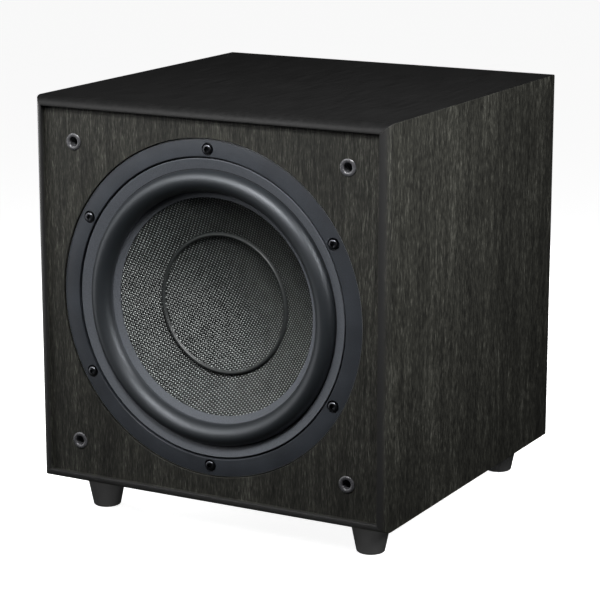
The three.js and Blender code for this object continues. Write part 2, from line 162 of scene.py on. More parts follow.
print("mid grey 808080 is", round(tint("808080")[0], 3), "of white's light")

# %% A material that nodes can be added to


class NodeMaker:
    """A material with its shader, and one way to add nodes of every kind to it."""

    def __init__(self, name, roughness=0.5, metallic=0.0, coat=0.0, specular=0.5):
        self.name = name
        self.material = bpy.data.materials.new(name)
        self.material.use_nodes = True
        self.tree = self.material.node_tree
        self.shader = self.tree.nodes["Principled BSDF"]
        self.shader.inputs["Roughness"].default_value = roughness
        self.shader.inputs["Metallic"].default_value = metallic
        self.shader.inputs["Coat Weight"].default_value = coat
        self.shader.inputs["Coat Roughness"].default_value = 0.2
        self.shader.inputs["Specular IOR Level"].default_value = specular
        self.place = self.add("ShaderNodeTexCoord", output="Object")

    def add(self, kind, settings=None, inputs=None, output=0):
        """Adds a node of that kind: its settings first, then the values or links of its sockets."""
        node = self.tree.nodes.new(kind)
        for key, value in (settings or {}).items():
            if key == "stops":
                self.set_stops(node.color_ramp, value)
            else:
                setattr(node, key, value)
        for key, value in (inputs or {}).items():
            self.feed(node.inputs[key], value)
        return Signal(self, node.outputs[output])

    def feed(self, socket, value):
        if isinstance(value, Signal):
            self.tree.links.new(value.socket, socket)
        else:
            socket.default_value = value

    def set_stops(self, ramp, stops):
        while len(ramp.elements) < len(stops):
            ramp.elements.new(0.5)
        for element, (position, colour) in zip(ramp.elements, stops):
            element.position = position
            element.color = tint(colour)


print("nodes can be added")

# %% A finish: patterns to draw with, and the shader that they feed


class Finish(NodeMaker):
    """A finish of the object. Its patterns are measured in millimetres."""

    def stretched(self, per_mm):
        """The place on the piece, multiplied along x, y and z. One unit is then one cell of a noise."""
        scale = tuple(value / MM for value in per_mm)
        return self.add("ShaderNodeVectorMath", {"operation": "MULTIPLY"}, {0: self.place, 1: scale})

    def noise(self, per_mm, detail=2.0, rough=0.5):
        """Smooth noise about 0.5, with cells of 1 / per_mm millimetres."""
        if not isinstance(per_mm, tuple):
            per_mm = (per_mm,) * 3
        inputs = {"Vector": self.stretched(per_mm), "Scale": 1.0, "Detail": detail, "Roughness": rough}
        return self.add("ShaderNodeTexNoise", None, inputs)

    def axes(self):
        """Place along x, y and z, in millimetres."""
        split = self.add("ShaderNodeSeparateXYZ", None, {0: self.place})
        return [Signal(self, output) / MM for output in split.socket.node.outputs]

    def from_axis(self):
        """Distance from the driver's axis, in millimetres."""
        x, _, z = self.axes()
        return (x * x + (z - AXIS_Z) * (z - AXIS_Z)) ** 0.5

    def mix(self, factor, first, second):
        """Colours go through a Mix node, because a Math node would turn them grey."""
        colours = {0: factor, 6: first, 7: second}
        return self.add("ShaderNodeMix", {"data_type": "RGBA"}, colours, output=2)

    def ramp(self, value, stops):
        return self.add("ShaderNodeValToRGB", {"stops": stops}, {"Fac": value})

    def colour(self, value):
        self.feed(self.shader.inputs["Base Color"], value)

    def rough(self, value):
        self.feed(self.shader.inputs["Roughness"], value)

    def bump(self, height, depth_mm):
        """Tilts the surface's normal as a relief of that depth would."""
        inputs = {"Height": height, "Distance": depth_mm * MM}
        self.feed(self.shader.inputs["Normal"], self.add("ShaderNodeBump", None, inputs))


finishes = {}


def keep(finish):
    finishes[finish.name] = finish
    return finish


print("shader helpers ready")

# %% [markdown]
# ## Woodgrain vinyl
# The box is chipboard wrapped in a printed and embossed foil. Its grain is made of short upright dashes,
# less than a millimetre wide and some millimetres long, with long streaks, slow bands of lighter and darker
# wood and small dark pores. The very front of each edge has no print. An image could be wrapped round the
# box, but stretched noise gives the same dashes at their real size on every face, with no seam. Each noise
# is stretched by its own three numbers, which are its cells per millimetre across, into the depth and up.

# %% Woodgrain vinyl
DASH = (1.35, 0.7, 0.16)
SMOOTH_LIP = 2.6         # the print starts this far behind the front rim
woodgrain = keep(Finish("woodgrain_vinyl", specular=0.25))
hairs = woodgrain.noise((1.7, 0.85, 0.05), detail=1)
dashes = woodgrain.noise(DASH, detail=2, rough=0.7)
streaks = woodgrain.noise((0.5, 0.25, 0.03), detail=3, rough=0.65)
bands = woodgrain.noise((0.03, 0.028, 0.0025), detail=2)
pores = woodgrain.noise((1.3, 0.7, 0.12), detail=1)
growth = woodgrain.noise((0.2, 0.1, 0.012), detail=2)
figure = dashes * 0.42 + streaks * 0.2 + growth * 0.16 + bands * 0.14 + hairs * 0.08
grain_colours = [(0.38, "141412"), (0.45, "22221f"), (0.50, "2b2b27"), (0.55, "383833"), (0.62, "565650")]
grain = woodgrain.ramp(figure, grain_colours)
pore_mask = 1 - pores.above(0.38, 0.05)
grain = woodgrain.mix(pore_mask * 0.6, grain, tint("10100e"))
along_depth = woodgrain.axes()[1]
smooth_lip = 1 - along_depth.above(FRONT + SMOOTH_LIP, 1.6)
woodgrain.colour(woodgrain.mix(smooth_lip, grain, tint("262626")))
woodgrain.rough(0.45 + figure * 0.25)
woodgrain.bump(figure * (1 - smooth_lip), 0.2)
print("woodgrain vinyl: dashes", round(1 / DASH[0], 1), "mm wide and", round(1 / DASH[2], 1), "mm long")

# %% [markdown]
# ## Black satin
# The top and the back board have a plain black foil. It isn't quite flat: a fine orange-peel texture breaks
# the reflections up, and faint rubbing marks run from the front to the back.

# %% Black satin
PEEL = 1.2               # cells per millimetre
satin = keep(Finish("black_satin", specular=0.2))
peel = satin.noise(PEEL, detail=3)
rubbing = satin.noise((0.5, 0.02, 0.5), detail=3)
satin.colour(satin.ramp(rubbing, [(0.35, "121212"), (0.55, "171717"), (0.75, "1d1d1d")]))
satin.rough(0.42 + rubbing * 0.2)
satin.bump(peel, 0.06)
print("black satin: peel cells of", round(1 / PEEL, 1), "mm")

# %% [markdown]
# ## The driver's finishes
# The ring is painted a dark blue-grey with a dry, slightly speckled texture. A narrow band round its sharp
# outer edge is given bright metal, as a painted highlight along the edge. The frame under it is a rough
# casting. Noise is enough for both, and the distance from the driver's axis says where the edge is.

# %% Ring paint and cast frame
ring_paint = keep(Finish("ring_paint"))
speckle = ring_paint.noise(1.6, detail=3)
cloud = ring_paint.noise(0.03, detail=2)
paint = ring_paint.ramp(speckle * 0.5 + cloud * 0.5, [(0.35, "26292e"), (0.65, "373b41")])
# Painted highlight: a narrow band of bright metal round the outer edge stands for the light that the edge
# catches.
painted_edge_highlight = ring_paint.from_axis().above(RING_EDGE - 0.55, 0.1)
ring_paint.colour(ring_paint.mix(painted_edge_highlight, paint, tint("b4b8bd")))
ring_paint.feed(ring_paint.shader.inputs["Metallic"], painted_edge_highlight)
ring_paint.rough(0.36 + speckle * 0.2)
ring_paint.bump(speckle, 0.05)

cast = keep(Finish("cast_frame", metallic=0.6))
sand = cast.noise(1.0, detail=4)
cast.colour(cast.ramp(sand, [(0.35, "1f2022"), (0.65, "34363a")]))
cast.rough(0.4 + sand * 0.3)
cast.bump(sand, 0.15)
print("ring bare outside a radius of", round(RING_EDGE - 0.55, 1), "mm")

# %% [markdown]
# ## Rubber
# The surround is black rubber. Its roll is satin, and its two flat flanges are dusty, lighter and duller.
# One finish holds both, because they are one piece, and a mask made from the radius tells them apart.

# %% Rubber of the surround
rubber = keep(Finish("roll_rubber", specular=1.0))
rubber.shader.inputs["Specular Tint"].default_value = tint("e6ebf2")
radius = rubber.from_axis()
flange_mask = radius.above(ROLL_OUT + 0.2, 0.5) + (1 - radius.above(ROLL_IN, 0.5))
dust = rubber.noise(0.9, detail=4, rough=0.7)
roll_colour = rubber.ramp(dust, [(0.3, "14171a"), (0.7, "1c2023")])
flange_colour = rubber.ramp(dust, [(0.35, "404348"), (0.65, "505359")])
rubber.colour(rubber.mix(flange_mask, roll_colour, flange_colour))
rubber.rough(0.43 + flange_mask * 0.25 + dust * 0.08)
rubber.bump(dust, 0.06)
print("rubber: satin between the radii", ROLL_IN, "and", ROLL_OUT)

# %% [markdown]
# ## Woven fibre
# The cone and its cap are pressed from woven fibre set in resin. A plain weave is two sets of threads that
# take turns on top, so each small square is a short ridge, one way or the other like the squares of a
# chessboard. The rounded-down place gives the square, and the rest of it gives the place on the thread,
# from which the thread's height, its colour and its gloss follow. The colour holds painted highlights: the
# crests of the threads are painted as light glints, and the squares of one set of threads lighter than those
# of the other, as the light would pick them out. The glued edge of the cap has no weave.

# %% Woven fibre
THREAD = 1.65            # width of a thread
WEAVE_TURN = math.radians(18)
weave = keep(Finish("woven_fibre", specular=0.7))
x, _, z = weave.axes()
across = (x * math.cos(WEAVE_TURN) + z * math.sin(WEAVE_TURN)) / THREAD
along = (z * math.cos(WEAVE_TURN) - x * math.sin(WEAVE_TURN)) / THREAD
over = ((across.floor() + along.floor()) * 0.5).fraction() * 2
arch_across = (across.fraction() * math.pi).sine()
arch_along = (along.fraction() * math.pi).sine()
warp = arch_across ** 0.5 * (arch_along * 0.6 + 0.4)
weft = arch_along ** 0.5 * (arch_across * 0.6 + 0.4)
thread_height = over * warp + (1 - over) * weft
resin = weave.noise(0.12, detail=3)
# Painted highlights: the crests of the threads are painted as glints, brighter on the squares where one set
# of threads lies on top.
lit = thread_height * (over * 0.38 + 0.52) + resin * 0.3
radius = weave.from_axis()
glue_bead = radius.above(BEAD_IN, 0.2) - radius.above(BEAD_OUT, 0.2)
fibres_with_painted_glints = weave.ramp(lit, [(0.3, "020303"), (0.55, "101212"), (0.75, "3c4140"), (0.95, "a5aba8")])
weave.colour(weave.mix(glue_bead, fibres_with_painted_glints, tint("2c2f2f")))
weave.rough(0.50 - thread_height * (0.2 * (1 - glue_bead)))
weave.bump(thread_height * (1 - glue_bead), 0.7)
print("woven fibre: threads", THREAD, "mm apart")

# %% [markdown]
# ## Plastics, metals and the rest
# Most small pieces share a few recipes: a moulded plastic has a faint spark-eroded texture, a metal has
# fine scratches along one way, and a powder coat has a pebbled skin. One function for each recipe keeps
# them alike.

# %% Recipes for plastics and metals


def moulded(name, dark, light, roughness, pebble_mm=0.5, depth=0.03, coat=0.0):
    """A skin of small pebbles, with colour and gloss that drift a little."""
    finish = keep(Finish(name, coat=coat))
    pebbles = finish.noise(1 / pebble_mm, detail=2)
    drift = finish.noise(0.05, detail=2)
    finish.colour(finish.ramp(drift * 0.6 + pebbles * 0.4, [(0.35, dark), (0.65, light)]))
    finish.rough(roughness - 0.08 + pebbles * 0.16)
    finish.bump(pebbles, depth)


def brushed(name, dark, light, roughness, along, depth=0.02):
    """Metal with fine scratches. The noise cells are long in the direction of the scratches."""
    finish = keep(Finish(name, metallic=1.0))
    scratches = finish.noise(along, detail=4, rough=0.6)
    stains = finish.noise(0.06, detail=3)
    finish.colour(finish.ramp(stains, [(0.3, dark), (0.7, light)]))
    finish.rough(roughness - 0.1 + scratches * 0.2)
    finish.bump(scratches, depth)


print("two recipes")

# %% Plastics, rubber and paint
moulded("black_plastic", "111113", "1b1b1d", 0.42)
moulded("knob_plastic", "131315", "1e1e20", 0.36, 0.4)
moulded("socket_plastic", "3e3e40", "525255", 0.26, 0.8, 0.02, coat=0.4)
moulded("foot_rubber", "383838", "464646", 0.34, 0.6, 0.04)
moulded("powder_coat", "1c1c1e", "29292b", 0.5, 0.7, 0.12)
moulded("foam_gasket", "161616", "2a2a2a", 0.95, 0.35, 0.2)
moulded("cable_sheath", "141414", "1f1f1f", 0.6, 0.4, 0.05)
moulded("capacitor_sleeve", "14161d", "1e212b", 0.3, 0.6, 0.02)
moulded("coil_former_film", "7c4718", "a4632a", 0.35, 1.2, 0.02)
moulded("ferrite", "29292b", "3a3a3d", 0.7, 0.8, 0.12)
moulded("power_lens", "8f0f0f", "a51818", 0.12, 2.0, 0.005, coat=0.8)
moulded("winding_tape", "b08a1c", "cda63a", 0.45, 1.5, 0.1)
moulded("red_insulator", "8a1212", "a51a1a", 0.35)
moulded("white_insulator", "c9c9c5", "dcdcd8", 0.35)
print(len(finishes), "finishes so far")

# %% Metals
brushed("zinc_steel", "84868a", "a3a5a9", 0.34, (0.15, 3.0, 3.0))
brushed("black_steel", "0f0f10", "1d1d1f", 0.32, (2.0, 2.0, 2.0))
brushed("oxide_steel", "4a4b4f", "6c6e72", 0.3, (2.0, 2.0, 2.0))
brushed("gold_plate", "b98a35", "d8ab52", 0.24, (2.0, 0.2, 2.0), 0.01)
brushed("anodised_aluminium", "232325", "363639", 0.4, (2.5, 2.5, 0.1), 0.03)
print(len(finishes), "finishes so far")

# %% [markdown]
# ## Materials with a structure of their own
# Six more materials each have their own structure: chips in the board, tufts in the wadding, turns of wire
# on the coil, threads in the spider's cloth, tracks on the circuit board and worn ink in the printed
# scales. Each is drawn from one noise or one wave at the real size of that structure.

# %% Board and wadding
board = keep(Finish("bare_board", roughness=0.9))
chips = board.noise((0.9, 0.25, 0.9), detail=4, rough=0.7)
board.colour(board.ramp(chips, [(0.3, "6b5237"), (0.5, "8d7152"), (0.7, "ab9070")]))
board.bump(chips, 0.4)

wadding = keep(Finish("wadding", roughness=1.0, specular=0.2))
tufts = wadding.noise(0.25, detail=6, rough=0.7)
wadding.colour(wadding.ramp(tufts, [(0.3, "b7b3a6"), (0.7, "e2dfd6")]))
wadding.bump(tufts, 3.0)
print("board and wadding")

# %% Copper wire and spider cloth
WIRE = 0.45              # width of a turn
THREADS = 5.2            # radians of the cloth's wave in a millimetre
copper = keep(Finish("copper_wire", roughness=0.3, metallic=1.0))
turns = (copper.axes()[1] * (2 * math.pi / WIRE)).sine()
# Painted shade and highlight: the grooves between the turns are painted dark brown and their crests light
# copper.
copper.colour(copper.ramp(turns * 0.5 + 0.5, [(0.0, "5c2c14"), (0.6, "b56b3a"), (1.0, "d08b5a")]))
copper.bump(turns, 0.15)

cloth = keep(Finish("spider_cloth", roughness=0.85))
x, _, z = cloth.axes()
mesh_lines = (x * THREADS).sine() * (z * THREADS).sine()
cloth.colour(cloth.ramp(mesh_lines * 0.5 + 0.5, [(0.2, "7a5f22"), (0.8, "c2a050")]))
cloth.bump(mesh_lines, 0.2)
print("wire", WIRE, "mm wide, cloth threads", round(2 * math.pi / THREADS, 1), "mm apart")

# %% Circuit board and white print
pcb = keep(Finish("circuit_board", coat=0.4))
tracks = pcb.noise((0.12, 0.12, 0.5), detail=0).above(0.52, 0.01)
weft_marks = pcb.noise((1.5, 1.5, 0.4), detail=2)
pcb.colour(pcb.mix(tracks, tint("143f24"), tint("20603a")))
pcb.rough(0.28 + weft_marks * 0.2)
pcb.bump(tracks, 0.05)

print_white = keep(Finish("white_print", roughness=0.6))
wear = print_white.noise(1.5, detail=3)
print_white.colour(print_white.ramp(wear, [(0.3, "b4b4b2"), (0.6, "d6d6d3")]))
print("all", len(finishes), "finishes are ready")

# %% [markdown]
# ## Making meshes
# Nearly every piece is one of three kinds: turned on a lathe, drawn as a section and pushed along a line,
# or a block with parts cut away. A lathe here takes a list of radius and distance along the axis. Points
# and faces are plain lists until the last moment, so shapes can be joined and moved with ordinary Python.

# %% Shapes as lists of points and faces


def turned(profile, sides=128, x=0.0, y=0.0, z=0.0, axis="y", grow=None):
    """Points and faces of a closed profile turned about an axis through (x, y, z)."""
    points, rings = [], []
    for radius, distance in profile:
        count = 1 if radius < 1e-6 else sides
        ring = list(range(len(points), len(points) + count)) * (sides // count)
        for k in range(count):
            angle = 2 * math.pi * k / sides
            wide = radius + (grow(angle, radius, distance) if grow else 0.0)
            a, b = wide * math.cos(angle), wide * math.sin(angle)
            points.append((x + a, y + distance, z + b) if axis == "y" else (x + a, y + b, z + distance))
        rings.append(ring)
    faces = []
    for near, far in zip(rings, rings[1:] + rings[:1]):
        for k in range(sides):
            j = (k + 1) % sides
            face = list(dict.fromkeys((near[k], near[j], far[j], far[k])))
            if len(face) > 2:
                faces.append(face)
    return points, faces


def block(low, high):
    """Points and faces of a block between two corners."""
    points = [(a, b, c) for a in (low[0], high[0]) for b in (low[1], high[1]) for c in (low[2], high[2])]
    faces = [(0, 1, 3, 2), (4, 6, 7, 5), (0, 4, 5, 1), (2, 3, 7, 6), (0, 2, 6, 4), (1, 5, 7, 3)]
    return points, faces


def joined(shapes):
    points, faces = [], []
    for more_points, more_faces in shapes:
        start = len(points)
        points += more_points
        faces += [[start + i for i in face] for face in more_faces]
    return points, faces


print("a block has", len(block((0, 0, 0), (1, 1, 1))[1]), "faces")

# %% From a shape to an object


def turn_outwards(mesh):
    """Merges corners that meet and turns every face outwards."""
    work = bmesh.new()
    work.from_mesh(mesh)
    bmesh.ops.remove_doubles(work, verts=work.verts, dist=1e-6)
    bmesh.ops.dissolve_degenerate(work, edges=work.edges, dist=1e-7)
    bmesh.ops.recalc_face_normals(work, faces=work.faces)
    work.to_mesh(mesh)
    work.free()


def object_from(name, shape):
    points, faces = shape
    mesh = bpy.data.meshes.new(name)
    mesh.from_pydata([Vector(p) * MM for p in points], [], faces)
    turn_outwards(mesh)
    made = bpy.data.objects.new(name, mesh)
    bpy.context.scene.collection.objects.link(made)
    return made


print("objects can be made")

# %% [markdown]
# ## Cutting and rounding
# A cut is a Boolean. Its result is kept as the mesh, so that the piece has no modifier that could change
# it. A rounding is a Bevel modifier that stays on the piece, because it is cheap and its width can still be
# changed.

# %% Cuts and roundings


def cut_away(thing, tools):
    """Takes the tools away from the thing and keeps the result as its mesh."""
    cutter = object_from("cutter", joined(tools))
    modifier = thing.modifiers.new("cut", "BOOLEAN")
    modifier.object = cutter
    modifier.solver = "EXACT"
    graph = bpy.context.evaluated_depsgraph_get()
    result = bpy.data.meshes.new_from_object(thing.evaluated_get(graph))
    thing.modifiers.clear()
    thing.data = result
    bpy.data.objects.remove(cutter)


def soften(thing, width):
    """A small rounding on every edge where the surface turns by more than 40 degrees."""
    modifier = thing.modifiers.new("soft_edges", "BEVEL")
    modifier.width = width * MM
    modifier.segments = 2
    modifier.limit_method = "ANGLE"
    modifier.angle_limit = math.radians(40)
    modifier.harden_normals = True


print("cuts and roundings can be made")

# %% [markdown]
# ## One piece
# Every piece goes through the same steps: mesh, cuts, finish, smooth shading with sharp edges, rounding.

# %% The function that makes a piece


def piece(name, shape, finish, body="cabinet", stands_for=(), tools=(), edge=0.0, sharp=30):
    """Makes one piece, gives it its finish and lets it ride on a body, when one is given."""
    made = object_from(name, shape)
    if tools:
        cut_away(made, tools)
    made.data.materials.clear()
    made.data.materials.append(finishes[finish].material)
    for polygon in made.data.polygons:
        polygon.use_smooth = True
    made.data.set_sharp_from_angle(angle=math.radians(sharp))
    if edge:
        soften(made, edge)
    if body:
        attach(made, body)
    if stands_for:
        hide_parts(*stands_for)
    return made


print("pieces can be made in", len(finishes), "finishes")

# %% [markdown]
# ## The wrap
# The four walls are one board, grooved and folded round, so they meet in mitres. The front edge of each is
# rounded over towards a narrow arris, and the baffle sits a little behind it. A wall is drawn as a section
# of inward distance and depth. Every corner of the section becomes a row of points across the wall, which
# ends on the mitre. Rows on the outside end in a short arc, so that the long corners of the box are crisp
# but not razor sharp.

# %% Section of a wall
RIM = 8.0               # width of the rim that is left round the baffle
ROUNDOVER = 11.0        # how far back the rounding of the front edge starts
WALL = 15.0
BAFFLE_BACK = 27.3
BACK_BOARD = 15.3
CORNER = 0.8            # rounding of the long corners
MITRE_GAP = 0.04
ARC_STEPS = 4


def wall_section():
    """Rows of (inward, depth, corner rounding) round the section of a wall."""
    rows = [(0.0, CABINET_DEPTH - 0.8, CORNER)]
    for k in range(13):
        angle = math.radians(86) * k / 12
        rows.append((RIM * (1 - math.cos(angle)), ROUNDOVER * (1 - math.sin(angle)), CORNER))
    rows += [(7.75, 0.06, 0.0), (7.93, 0.2, 0.0), (RIM, 0.5, 0.0)]
    groove = CABINET_DEPTH - BACK_BOARD
    rows += [(RIM, BAFFLE_BACK, 0.0), (WALL, BAFFLE_BACK, 0.0), (WALL, groove, 0.0), (RIM, groove, 0.0)]
    rows += [(RIM, CABINET_DEPTH - 0.4, 0.0), (7.6, CABINET_DEPTH, 0.0)]
    rows += [(0.8, CABINET_DEPTH, CORNER), (0.23, CABINET_DEPTH - 0.23, CORNER)]
    return rows


print("a wall has", len(wall_section()), "rows of points")

# %% Shape of a wall


def wall_shape(place):
    """place turns (run along the wall, inward, depth) into a point."""
    points, faces = [], []
    rows = wall_section()
    width = 2 * (ARC_STEPS + 1)
    for inward, depth, round_off in rows:
        half = []
        for k in range(ARC_STEPS + 1):
            angle = math.radians(45) * (1 - k / ARC_STEPS)
            run = HALF_BOX - inward - round_off * (1 - math.sin(angle)) - MITRE_GAP
            half.append((run, inward + round_off * (1 - math.cos(angle))))
        for run, deep in half:
            points.append(place(-run, deep, depth))
        for run, deep in reversed(half):
            points.append(place(run, deep, depth))
    for i in range(len(rows)):
        j = (i + 1) % len(rows)
        for k in range(width - 1):
            faces.append((i * width + k, i * width + k + 1, j * width + k + 1, j * width + k))
    faces.append([i * width for i in range(len(rows))])
    faces.append([i * width + width - 1 for i in range(len(rows))])
    return points, faces


print("rows end in arcs of", ARC_STEPS, "steps")

# %% Walls of the box
walls = {
    "top_panel": ("black_satin", lambda r, t, d: (r, FRONT + d, CABINET_HIGH.z - t)),
    "bottom_panel": ("woodgrain_vinyl", lambda r, t, d: (r, FRONT + d, CABINET_LOW.z + t)),
    "left_panel": ("woodgrain_vinyl", lambda r, t, d: (CABINET_LOW.x + t, FRONT + d, AXIS_Z + r)),
    "right_panel": ("woodgrain_vinyl", lambda r, t, d: (CABINET_HIGH.x - t, FRONT + d, AXIS_Z + r)),
}
wraps = {}
for name, (finish, place) in walls.items():
    wraps[name] = piece(name + "_wrap", wall_shape(place), finish, stands_for=[name], sharp=25)
print("made", len(wraps), "walls")

# %% [markdown]
# ## The baffle
# The baffle is the board that carries the driver. A stepped hole is cut in it: a shallow rebate that lets
# the ring in nearly flush, and a smaller hole for the basket. Four small holes hold the sockets of a cloth
# grille, which are cups with a rounded lip. The tools of the cut are turned pieces with many sides, so that
# the edge of the hole is a true circle.

# %% Front baffle
REBATE = RING_EDGE + 0.5
REBATE_FLOOR = FRONT + 14.7
BASKET_HOLE = 120.0
SOCKET_HOLE = 5.3
LARGE_CIRCLE = 192       # sides of the driver's circles
FIT = 0.2                # the board reaches this far into the grooves of the walls
low, high = box("front_baffle")
start, stop = low.y - 5, high.y + 5      # the tools reach through the board
board_shape = block((low.x - FIT, low.y, low.z - FIT), (high.x + FIT, high.y, high.z + FIT))
stepped = [(0, start), (REBATE, start), (REBATE, REBATE_FLOOR), (BASKET_HOLE, REBATE_FLOOR),
           (BASKET_HOLE, stop), (0, stop)]
drill = [(0, start), (SOCKET_HOLE, start), (SOCKET_HOLE, stop), (0, stop)]
tools = [turned(stepped, LARGE_CIRCLE, z=AXIS_Z)]
SOCKETS = [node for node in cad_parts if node.startswith("grille_socket_")]
for node in SOCKETS:
    spot = middle(node)
    tools.append(turned(drill, 32, spot.x, 0, spot.z))
piece("front_baffle_board", board_shape, "woodgrain_vinyl", stands_for=["front_baffle"], tools=tools,
      edge=0.25)
print("baffle with a rebate", 2 * REBATE, "mm wide")

# %% Grille sockets
socket_profile = [(0, 18), (5, 18), (5, 4.7), (7.1, 4.7), (7.0, 4.3), (6.6, 3.95), (6.0, 3.75),
                  (5.3, 3.7), (4.6, 3.85), (4.1, 4.15), (3.8, 4.6), (3.7, 5.2), (3.7, 16), (0, 16)]
for node in SOCKETS:
    spot = middle(node)
    cup = turned(socket_profile, 48, spot.x, FRONT, spot.z)
    piece(node + "_cup", cup, "socket_plastic", stands_for=[node])
print(len(SOCKETS), "sockets")

# %% [markdown]
# ## Feet
# Each foot is a tapered plug of hard rubber, held by a screw up its middle. It could be a cone with a
# bevel, but a turned profile also gives the rounded bottom edge, the small swell at the top and the hole of
# the screw.

# %% Feet
FOOT_ROUNDING = 2.2
foot_profile = [(4.6, 0), (9.8, 0)]
for k in range(7):
    angle = math.radians(90) * k / 6
    foot_profile.append((9.9 + FOOT_ROUNDING * math.sin(angle), FOOT_ROUNDING * (1 - math.cos(angle))))
foot_profile += [(17.2, 27.5), (17.9, 30.4), (18.0, 31.2), (17.7, 31.7), (2.4, 31.7), (2.4, 20), (4.6, 20)]
feet = []
for node in [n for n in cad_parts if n.startswith("foot_") and "screw" not in n]:
    spot = middle(node)
    plug = turned(foot_profile, 96, spot.x, spot.y, 0, axis="z")
    feet.append(piece(node + "_rubber", plug, "foot_rubber", stands_for=[node]))
print(len(feet), "feet")

# %% [markdown]
# ## The ring and its screws
# A painted ring covers the driver's frame. Six socket screws sit in counterbores in it. Both the
# counterbore and the hole for the shank are cut with one stepped tool, because tools that overlap each
# other confuse a Boolean. The hexagon in a screw's head is a lathe with six sides.

# %% Trim ring
SCREW_CIRCLE = 132.2     # radius of the circle that the screws stand on
RING_HOLE = 125.9
COUNTERBORE = (5.3, 8.6) # radius and depth
ring_profile = [(RING_HOLE, 7.2), (126.0, 6.3), (126.3, 5.95), (127, 5.85), (139.3, 6.65), (140.2, 6.8),
                (RING_EDGE, 7.3), (RING_EDGE, 9.8), (RING_HOLE, 9.8)]
stepped = [(0, 0), (COUNTERBORE[0], 0), COUNTERBORE, (2.7, COUNTERBORE[1]), (2.7, 30), (0, 30)]
screw_spots = []
for k in range(6):
    angle = math.radians(90 + 60 * k)
    screw_spots.append((SCREW_CIRCLE * math.cos(angle), AXIS_Z + SCREW_CIRCLE * math.sin(angle)))
bores = [turned(stepped, 48, a, FRONT, b) for a, b in screw_spots]
ring_shape = turned(ring_profile, LARGE_CIRCLE, 0, FRONT, AXIS_Z)
piece("ring_face", ring_shape, "ring_paint", stands_for=["trim_ring"], tools=bores, edge=0.2, sharp=25)
print("ring with", len(bores), "counterbores")

# %% Driver screws
head_profile = [(0, 4.7), (2.9, 4.7), (3.45, 4.85), (3.8, 5.2), (3.9, 5.7), (3.9, 8.3), (2.1, 8.3),
                (2.1, 25), (0, 25)]
key_profile = [(0, 4), (2.3, 4), (2.3, 7.4), (0, 7.4)]
for k, (a, b) in enumerate(screw_spots):
    hexagon = turned(key_profile, 6, a, FRONT, b)
    piece(f"driver_screw_{k + 1}_head", turned(head_profile, 48, a, FRONT, b), "oxide_steel",
          stands_for=[f"driver_screw_{k + 1}"], tools=[hexagon])
print(len(screw_spots), "driver screws")

# %% [markdown]
# ## The surround
# A rubber half-roll joins the cone to the frame and lets it move. Its outer flange stays still and its
# inner lip goes with the cone, so the piece has to bend. It rides on no body, and its place is written into
# its mesh.

# %% Writing a loose piece's place into its mesh


def bend_by_radius(thing):
    """Writes the piece's place into its mesh, so that it has no transform."""
    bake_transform(thing)


# %% Surround
ROLL_OUT_DEPTH = 10.4    # depths are measured from the front rim
ROLL_IN_DEPTH = 12.3
ROLL_CREST = 1.3
ROLL_STEPS = 28
RUBBER = 1.1             # thickness
LIP = (91.4, 15.2)


def roll(shrink):
    """The arch of the roll, from its outer foot to its inner one, made smaller by the shrink."""
    centre, half = (ROLL_OUT + ROLL_IN) / 2, (ROLL_OUT - ROLL_IN) / 2
    rise = (ROLL_OUT_DEPTH + ROLL_IN_DEPTH) / 2 - ROLL_CREST
    arch = []
    for k in range(ROLL_STEPS + 1):
        angle = math.pi * k / ROLL_STEPS
        foot = ROLL_OUT_DEPTH + (ROLL_IN_DEPTH - ROLL_OUT_DEPTH) * (1 - math.cos(angle)) / 2
        arch.append((centre + (half - shrink) * math.cos(angle), foot - (rise - shrink) * math.sin(angle)))
    return arch


front = [(124.4, 7.3), (124.0, 7.0), (120, 8.3), (116, 10.0), *roll(0), (95.6, 12.9), (93.5, 14.1), LIP]
behind = [(LIP[0], LIP[1] + RUBBER), *[(r, d + RUBBER) for r, d in reversed(roll(RUBBER))], (116, 11.0),
          (124.4, 9.7)]
roll_shape = turned(front + behind, LARGE_CIRCLE, 0, FRONT, AXIS_Z)
surround = piece("surround_roll", roll_shape, "roll_rubber", body=None, stands_for=["surround"], sharp=40)
bend_by_radius(surround)
print("surround", len(surround.data.vertices), "points")

# %% [markdown]
# ## The spider
# Behind the cone a rippled disc of cloth keeps the coil in the middle of the magnet's gap. It bends like
# the surround. The ripples are a sine wave that fades in and out, so the flat rims join it without a
# crease.

# %% Spider
CLOTH_DEPTH = 60.7       # where the flat rims lie
RIPPLE = 2.4             # height of a ripple
RIPPLES = 5
CLOTH = 0.9              # thickness
ripples = [(26.2, CLOTH_DEPTH), (29.5, CLOTH_DEPTH)]
for k in range(81):
    fade = math.sin(math.pi * k / 80) ** 0.5
    wave = RIPPLE * fade * math.sin(2 * math.pi * RIPPLES * k / 80)
    ripples.append((31 + 38 * k / 80, CLOTH_DEPTH + wave))
ripples += [(71, CLOTH_DEPTH), (86, CLOTH_DEPTH)]
spider_profile = ripples + [(r, d + CLOTH) for r, d in reversed(ripples)]
spider_shape = turned(spider_profile, 96, 0, FRONT, AXIS_Z)
spider = piece("spider_ripples", spider_shape, "spider_cloth", body=None, stands_for=["spider"], sharp=60)
bend_by_radius(spider)
print("spider", len(spider.data.vertices), "points")

# %% [markdown]
# ## Cone and cap
# The cone is a shallow funnel. The cap that closes its middle is hollow towards the listener, and ends in a
# small raised bead where it is glued to the cone. Many short steps along the profile keep the bowl and the
# bead smooth. Behind the cap, a tube of thin film carries the coil, which is one ring with wire drawn on
# it.

